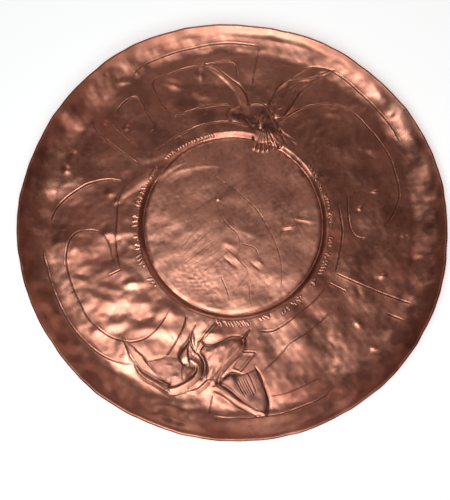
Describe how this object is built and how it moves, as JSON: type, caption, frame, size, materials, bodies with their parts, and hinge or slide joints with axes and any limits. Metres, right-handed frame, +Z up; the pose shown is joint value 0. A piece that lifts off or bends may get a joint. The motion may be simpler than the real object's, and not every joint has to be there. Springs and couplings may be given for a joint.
{
  "type": "hammered copper tray",
  "caption": "Round shallow tray of hammered copper sheet with a sunk flat middle, a wide chased flange, a turned-up rim and a wired, rolled edge.",
  "frame": {"origin": "on the table, under the centre of the tray's round outline", "axes": "+Z up out of the dish, +Y towards the edge nearest the upper bird, +X to the right when the tray is seen from above with +Y away from the viewer"},
  "size_m": [0.4299, 0.43, 0.018],
  "materials": {
    "hammered_copper": "hand-hammered copper, satin polish with brown patina in the hollows",
    "wire_copper": "drawn round copper wire, dull brown"
  },
  "bodies": {
    "root": {"hammered_sheet": "hammered_copper", "edge_wire": "wire_copper"}
  },
  "joints": []
}
